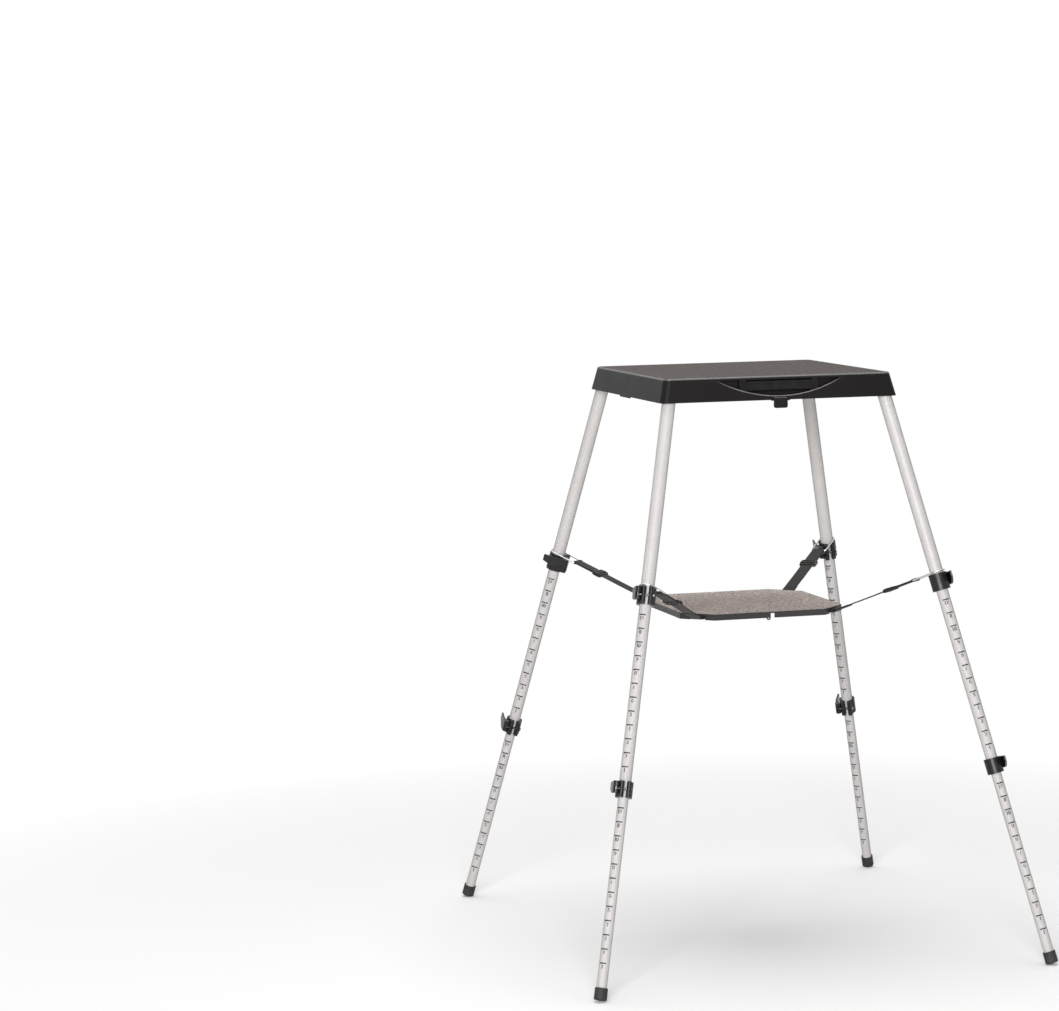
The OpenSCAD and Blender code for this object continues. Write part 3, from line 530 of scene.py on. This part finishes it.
def strap_frame(c):
    """X along the strap from the bar at the shelf to the leg's axis, Y across it, and its length."""
    sx, sy = CORNERS[c]
    leg = leg_frame(c)
    corner = (SHELF_W - SHELF_CHAMFER) / 2
    clamp_top = leg.at(0, 0, -UPPER_CLAMP_TOP)
    skew = math.atan2(abs(clamp_top.y) - corner, abs(clamp_top.x) - corner) - math.pi / 4
    stand = ANCHOR_REACH + STRAP_W / 2 * math.sin(abs(skew))
    reach = corner + stand * math.cos(math.pi / 4)
    start = Vector((sx * reach, sy * reach, SHELF_Z - ANCHOR_DROP))
    # the wire loop's middle lies on the leg's axis
    s = (BASE_Z - (SHELF_Z + SHELF_HANG)) / math.cos(TILT)
    end = leg.at(0, 0, -s)
    x = (end - start).normalized()
    y = Vector((-x.y, x.x, 0)).normalized()
    return Frame(start, x, y, x.cross(y)), (end - start).length


# Inch marks on the middle and lower tubes

MARK_COUNT = 12
MARK_START = 21 * MM  # from the end of the tube above to the first mark
MARK_HALF, MARK_HIGH, MARK_STEPS = 6.4 * MM, 1.2 * MM, 8  # half its width and half its height
DIGIT_SIZE, DIGIT_GAP, DIGIT_DROP = 7.2 * MM, 0.8 * MM, 1.4 * MM
MARK_LIFT = 0.05 * MM
# the direction in plan that the marks face, in degrees
MARKS_FACE = {"fl": 232, "fr": 262, "bl": 244, "br": 226}


def glyphs():
    """Points, triangles and width of each digit, about 1 high, from Blender's own font."""
    out = {}
    for d in "0123456789":
        curve = bpy.data.curves.new("digit", "FONT")
        curve.body = d
        curve.size = 1.4
        curve.offset = 0.045
        curve.resolution_u = 3
        o = bpy.data.objects.new("digit", curve)
        bpy.context.scene.collection.objects.link(o)
        mesh = bpy.data.meshes.new_from_object(o)
        bm = bmesh.new()
        bm.from_mesh(mesh)
        bmesh.ops.triangulate(bm, faces=bm.faces)
        xs = [v.co.x for v in bm.verts]
        out[d] = ([(v.co.x - min(xs), v.co.y) for v in bm.verts],
                  [[v.index for v in f.verts] for f in bm.faces], max(xs) - min(xs))
        bm.free()
        bpy.data.objects.remove(o)
        bpy.data.curves.remove(curve)
        bpy.data.meshes.remove(mesh)
    return out


GLYPHS = glyphs()


def inch_marks(tube, c, radius, above_end):
    """Printed marks an inch apart down a tube, each with its number below it, counting down to 1."""
    leg = leg_frame(c)
    face = math.radians(MARKS_FACE[c])
    out = Vector((math.cos(face), math.sin(face), 0))
    zero = math.atan2(out.dot(leg.y), out.dot(leg.x))
    r = radius + MARK_LIFT
    verts, faces = [], []

    def put(u, v):
        a = zero + u / r
        verts.append(leg.at(r * math.cos(a), r * math.sin(a), v))

    for k in range(MARK_COUNT):
        s = above_end + MARK_START + k * INCH
        start = len(verts)
        for i in range(MARK_STEPS + 1):
            u = -MARK_HALF + 2 * MARK_HALF * i / MARK_STEPS
            put(u, -s - MARK_HIGH)
            put(u, -s + MARK_HIGH)
        for i in range(start, start + 2 * MARK_STEPS, 2):
            faces.append([i, i + 2, i + 3, i + 1])
        text = str(MARK_COUNT - k)
        wide = sum(GLYPHS[d][2] * DIGIT_SIZE for d in text) + DIGIT_GAP * (len(text) - 1)
        left, foot = -wide / 2, -s - MARK_HIGH - DIGIT_DROP - DIGIT_SIZE
        for d in text:
            points, triangles, w = GLYPHS[d]
            start = len(verts)
            for px, py in points:
                put(left + px * DIGIT_SIZE, foot + py * DIGIT_SIZE)
            faces += [[start + i for i in t] for t in triangles]
            left += w * DIGIT_SIZE + DIGIT_GAP
    new_piece(f"inch_marks_{tube}_{c}", verts, faces, INK, f"{tube}_{c}")


for c in CORNERS:
    inch_marks("mid", c, MID_R, UPPER_END)
    inch_marks("lower", c, LOWER_R, MID_END)


# The bead along the lip of the finger recess

BEAD_R, BEAD_SINK = 1.15 * MM, 0.35 * MM
BEAD_STEPS, BEAD_RING = 96, 12


def skirt_y(z):
    """Y of the front of the skirt at a height above the case's lower edge."""
    wall = CASE_H - CASE_EDGE
    return -(CASE_W / 2 + CASE_FLARE * max(0.0, wall - z) / wall)


def recess_lip():
    """The bead follows an arc through the recess's two upper corners and its lowest point."""
    arc_r = ((RECESS_W / 2) ** 2 + RECESS_H ** 2) / (2 * RECESS_H)
    chord = CASE_H - RECESS_TOP
    path = []
    for i in range(BEAD_STEPS + 1):
        x = -RECESS_W / 2 + RECESS_W * i / BEAD_STEPS
        z = chord - (math.sqrt(arc_r ** 2 - x ** 2) - (arc_r - RECESS_H))
        path.append(Vector((x, skirt_y(z) + BEAD_SINK, BASE_Z + z)))
    verts, faces = [], []
    for i, p in enumerate(path):
        t = (path[min(i + 1, BEAD_STEPS)] - path[max(i - 1, 0)]).normalized()
        n = Vector((0, -1, 0))
        n = (n - t * n.dot(t)).normalized()
        b = n.cross(t)
        # both ends taper off
        r = BEAD_R * min(1.0, 0.25 + 6 * min(i, BEAD_STEPS - i) / BEAD_STEPS)
        for k in range(BEAD_RING):
            a = math.tau * k / BEAD_RING
            verts.append(p + (n * math.cos(a) * 0.85 + b * math.sin(a)) * r)
    close_rings(faces, 0, len(path), BEAD_RING)
    # the bead's lighter plastic is a painted highlight
    new_piece("recess_lip", verts, faces, LIP_PAINTED_HIGHLIGHT, "case")


recess_lip()


# Straps. In a strap's frame the bar at the shelf is at 0, and Z is 0 midway between the two plies.

PLY_Z = 1.05 * MM  # the plies between buckle and wire loop lie this far above and below 0
WRAP_GAP = 0.15 * MM  # between the webbing and what it turns round
TURN_STEPS = 12
NEAR_WIRE, NEAR_BAR = 6 * MM, 9 * MM  # where the plies come together
RUN_Z0, RUN_Z1, RUN_SAG = 0.2 * MM, 0.4 * MM, -0.5 * MM  # the single run, from buckle to bar
SEWN_Z, SEWN_END = -1.3 * MM, 32 * MM
SEAM_X0, SEAM_X1, SEAM_HALF = 13 * MM, 30 * MM, STRAP_W / 2 - 3 * MM
SEAM_LEVELS = (1.05 * MM, -2.15 * MM)  # upper and lower face of the sewn end
STITCH, STITCH_R, STITCH_SIDES = 2.9 * MM, 0.32 * MM, 6


def strap_path(length, back):
    """The middle line of a strap's webbing as (x, z) points in its own frame, and its length.
    It runs from the buckle round the wire loop, back through the buckle and round the bar."""
    wire = length - LOOP_LEN
    buckle_x = wire - back
    turn_r = WIRE_R + WRAP_GAP + STRAP_T / 2
    wrap_r = BAR_R + WRAP_GAP + STRAP_T / 2
    points = []

    def line(x0, z0, x1, z1, step=3 * MM, lift=0.0):
        count = max(2, round(math.hypot(x1 - x0, z1 - z0) / step))
        for i in range(count):
            t = i / count
            rise = lift * math.sin(math.pi * t)
            points.append((x0 + (x1 - x0) * t, z0 + (z1 - z0) * t + rise))

    def half_turn(x, r, start):
        for i in range(TURN_STEPS):
            a = start + math.pi * i / TURN_STEPS
            points.append((x + r * math.cos(a), r * math.sin(a)))

    line(buckle_x - 5 * MM, -PLY_Z - 0.2 * MM, wire - NEAR_WIRE, -PLY_Z)
    line(wire - NEAR_WIRE, -PLY_Z, wire, -turn_r, 1.5 * MM)
    half_turn(wire, turn_r, -math.pi / 2)
    line(wire, turn_r, wire - NEAR_WIRE, PLY_Z, 1.5 * MM)
    line(wire - NEAR_WIRE, PLY_Z, buckle_x + 5 * MM, PLY_Z)
    line(buckle_x + 5 * MM, PLY_Z, buckle_x - 9 * MM, RUN_Z0, 2 * MM)
    line(buckle_x - 9 * MM, RUN_Z0, NEAR_BAR, RUN_Z1, 3 * MM, RUN_SAG)
    line(NEAR_BAR, RUN_Z1, 0.0, wrap_r, 1.5 * MM)
    half_turn(0.0, wrap_r, math.pi / 2)
    line(0.0, -wrap_r, NEAR_BAR, SEWN_Z, 1.5 * MM)
    line(NEAR_BAR, SEWN_Z, SEWN_END, SEWN_Z)
    points.append((SEWN_END, SEWN_Z))
    total = sum(math.dist(a, b) for a, b in zip(points, points[1:]))
    return points, total


def strap_section():
    """The outline of a flat band with round edges, as (across, up) points."""
    w, t, r = STRAP_W / 2, STRAP_T / 2, STRAP_T * 0.45
    steps = 10
    flat = [-w + r + 2 * (w - r) * i / steps for i in range(steps + 1)]

    def edge(x, angles):
        rad = [math.radians(a) for a in angles]
        return [(x + r * math.cos(a), t * math.sin(a) * 1.1) for a in rad]

    return ([(u, -t) for u in flat] + edge(w - r, (-45, 0, 45))
            + [(u, t) for u in reversed(flat)] + edge(r - w, (135, 180, 225)))


def strap(c):
    """A strap's webbing, its frame and its length."""
    base, length = strap_frame(c)
    points, total = strap_path(length, BUCKLE_BACK[c])
    cross = strap_section()
    verts, faces = [], []
    for i, (x, z) in enumerate(points):
        x0, z0 = points[max(i - 1, 0)]
        x1, z1 = points[min(i + 1, len(points) - 1)]
        t = (base.x * (x1 - x0) + base.z * (z1 - z0)).normalized()
        thick = t.cross(base.y) * -1
        verts += [base.at(x, 0, z) + base.y * u + thick * v for u, v in cross]
    n = len(cross)
    close_rings(faces, 0, len(points), n)
    # where each point lies across and along the webbing, for the weave
    across = [u + STRAP_W / 2 for u, _ in cross]
    run = [0.0]
    for a, b in zip(points, points[1:]):
        run.append(run[-1] + math.dist(a, b))
    uv = []
    for v0, v1 in zip(run, run[1:]):
        for k in range(n):
            u0, u1 = across[k], across[(k + 1) % n]
            uv.append([(u0, v0), (u0, v1), (u1, v1), (u1, v0)])
    uv.append([(u, run[0]) for u in across])
    uv.append([(u, run[-1]) for u in reversed(across)])
    o = new_piece(f"strap_{c}", verts, faces, WEB, None, uv)
    return o, base, length


def stitch(verts, faces, a, b, up):
    """A short thread from a to b with narrow ends."""
    t = (b - a).normalized()
    side = t.cross(up).normalized()
    top = side.cross(t)
    start = len(verts)
    rows = [(0.0, 0.35), (0.18, 1.0), (0.82, 1.0), (1.0, 0.35)]
    for along, k in rows:
        for i in range(STITCH_SIDES):
            g = math.tau * i / STITCH_SIDES
            verts.append(a + (b - a) * along + (side * math.cos(g) + top * math.sin(g)) * STITCH_R * k)
    close_rings(faces, start, len(rows), STITCH_SIDES)


def stitches(c, base):
    """Box stitching with a cross where the webbing is sewn to itself at the shelf."""
    verts, faces = [], []
    box = [(SEAM_X0, -SEAM_HALF), (SEAM_X1, -SEAM_HALF), (SEAM_X1, SEAM_HALF), (SEAM_X0, SEAM_HALF)]
    lines = [(box[i], box[(i + 1) % 4]) for i in range(4)]
    lines += [(box[0], box[2]), (box[3], box[1])]
    for level in SEAM_LEVELS:
        for (ax, ay), (bx, by) in lines:
            count = round(math.hypot(bx - ax, by - ay) / STITCH)
            for i in range(count):
                t0, t1 = (i + 0.12) / count, (i + 0.88) / count
                a = base.at(ax + (bx - ax) * t0, ay + (by - ay) * t0, level)
                b = base.at(ax + (bx - ax) * t1, ay + (by - ay) * t1, level)
                stitch(verts, faces, a, b, base.z)
    return new_piece(f"strap_stitches_{c}", verts, faces, THREAD, None)


def buckle(c, base, length):
    """A plastic strap adjuster: two arched side rails joined by three bars above and two below."""
    mid = length - LOOP_LEN - BUCKLE_BACK[c]
    half_w, rail, half_l = STRAP_W / 2 + 4.1 * MM, 3.5 * MM, 9 * MM
    verts, faces = [], []

    def prism(profile, y0, y1):
        start = len(verts)
        verts.extend(base.at(mid + x, y, z) for y in (y0, y1) for x, z in profile)
        close_rings(faces, start, 2, len(profile))

    # along as shares of the half length, and up in mm
    arch = [(-1, -2.6), (-0.55, -3.4), (0.55, -3.4), (1, -2.6), (1, 1.4), (0.62, 3.3), (0, 3.9),
            (-0.62, 3.3), (-1, 1.4)]
    arch = [(x * half_l, z * MM) for x, z in arch]
    prism(arch, -half_w, -half_w + rail)
    prism(arch, half_w - rail, half_w)

    def bar(x, z, rx, rz, sides=14):
        angles = [math.tau * k / sides for k in range(sides)]
        inner = half_w - rail * 0.6
        prism([(x + rx * math.cos(a), z + rz * math.sin(a)) for a in angles], -inner, inner)

    bar(-half_l + 1.6 * MM, 2.55 * MM, 1.5 * MM, 1.1 * MM)
    bar(half_l - 1.6 * MM, 2.75 * MM, 1.5 * MM, 0.75 * MM)
    bar(0, 3.05 * MM, 1.7 * MM, 0.8 * MM)
    bar(-half_l + 1.8 * MM, -3.0 * MM, 1.4 * MM, 0.7 * MM)
    bar(half_l - 1.8 * MM, -3.0 * MM, 1.4 * MM, 0.7 * MM)
    o = new_piece(f"strap_buckle_{c}", verts, faces, LEVER, None, smooth=False)
    rounds(o, 0.5 * MM, 40)
    return o


# Each strap's webbing, stitches and buckle, built in place with their transforms baked; the CAD straps
# and buckles are hidden
for c in CORNERS:
    web, base, length = strap(c)
    parts = [web, stitches(c, base), buckle(c, base, length)]
    start, end = base.at(12 * MM, 0, 0), base.at(length - LOOP_LEN - 8 * MM, 0, 0)
    for o in parts:
        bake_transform(o)
    if c == "fl":
        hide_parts("shelf_straps")
        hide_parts("strap_buckles")


# Floor

FLOOR_STEPS, FLOOR_RADII = 96, (0.4, 0.8, 1.2, 1.8, 3, 6, 14, 40)
FADE_START, FADE_END = 0.9, 2.0  # where the floor turns to the white of the background


def floor():
    """A pale disc, which glows as white as the background away from the stand."""
    verts, faces = [(0, 0, 0)], []
    for r in FLOOR_RADII:
        for k in range(FLOOR_STEPS):
            a = math.tau * k / FLOOR_STEPS
            verts.append((r * math.cos(a), r * math.sin(a), 0))
    for k in range(FLOOR_STEPS):
        faces.append([0, 1 + k, 1 + (k + 1) % FLOOR_STEPS])
    for i in range(len(FLOOR_RADII) - 1):
        a, b = 1 + i * FLOOR_STEPS, 1 + (i + 1) * FLOOR_STEPS
        for k in range(FLOOR_STEPS):
            j = (k + 1) % FLOOR_STEPS
            faces.append([a + k, b + k, b + j, a + j])
    mat, tree, shader = material("pale_floor", 0.8, (0.9, 0.9, 0.9), spec=0.1)
    distance = node(tree, "ShaderNodeVectorMath")
    distance.operation = "LENGTH"
    tree.links.new(coords(tree), distance.inputs[0])
    far = map_range(tree, distance.outputs["Value"], FADE_START, FADE_END, 0, 1)
    glow = node(tree, "ShaderNodeEmission", Strength=1.0)
    mix = tree.nodes.new("ShaderNodeMixShader")
    tree.links.new(calc(tree, "MULTIPLY", far, looking_ray(tree)), mix.inputs[0])
    tree.links.new(shader.outputs[0], mix.inputs[1])
    tree.links.new(glow.outputs[0], mix.inputs[2])
    tree.links.new(mix.outputs[0], tree.nodes["Material Output"].inputs["Surface"])
    o = new_piece("floor", verts, faces, mat, None)


floor()


# Camera, fitted to the photograph

PHOTO_W = 1059
FOCAL_PX = 3468.28
SENSOR_W = 36
YAW, PITCH, ROLL = 0.26898, -0.10065, -0.01566

scene = bpy.context.scene
scene.view_settings.view_transform = "Standard"

camera = bpy.data.objects.new("camera", bpy.data.cameras.new("camera"))
scene.collection.objects.link(camera)
scene.camera = camera
camera.data.sensor_fit = "HORIZONTAL"
camera.data.sensor_width = SENSOR_W
camera.data.lens = FOCAL_PX / PHOTO_W * SENSOR_W
camera.data.clip_end = 200
flat_ahead = Vector((math.sin(YAW), math.cos(YAW), 0))
ahead = flat_ahead * math.cos(PITCH) + Vector((0, 0, math.sin(PITCH)))
level = Vector((math.cos(YAW), -math.sin(YAW), 0))
above = level.cross(ahead)
right = level * math.cos(ROLL) + above * math.sin(ROLL)
up = above * math.cos(ROLL) - level * math.sin(ROLL)
camera.rotation_euler = Matrix((right, up, -ahead)).transposed().to_euler()
camera.location = (-2.15508, -6.28556, 1.50372)


# Light

WHITE = (1, 1, 1, 1)
SURROUNDINGS = 0.26  # what lights the stand; the camera and mirroring surfaces see 1.0

world = bpy.data.worlds.new("studio")
scene.world = world
world.use_nodes = True
tree = world.node_tree
tree.nodes.clear()
dim = node(tree, "ShaderNodeBackground", Color=WHITE, Strength=SURROUNDINGS)
white = node(tree, "ShaderNodeBackground", Color=WHITE, Strength=1.0)
mix = tree.nodes.new("ShaderNodeMixShader")
tree.links.new(looking_ray(tree), mix.inputs[0])
tree.links.new(dim.outputs[0], mix.inputs[1])
tree.links.new(white.outputs[0], mix.inputs[2])
out = tree.nodes.new("ShaderNodeOutputWorld")
tree.links.new(mix.outputs[0], out.inputs["Surface"])


def lamp(name, where, target, size, power):
    """A square area lamp. Size in metres, power in watts."""
    data = bpy.data.lights.new(name, "AREA")
    data.shape = "SQUARE"
    data.size = size
    data.energy = power
    o = bpy.data.objects.new(name, data)
    o.location = where
    o.rotation_euler = (Vector(target) - Vector(where)).to_track_quat("-Z", "Y").to_euler()
    scene.collection.objects.link(o)


lamp("key", (-3.4, -7.8, 2.2), (0, 0, 0.7), 4.2, 1150)
lamp("top", (0, 0.4, 4.2), (0, 0, 0), 2.6, 96)
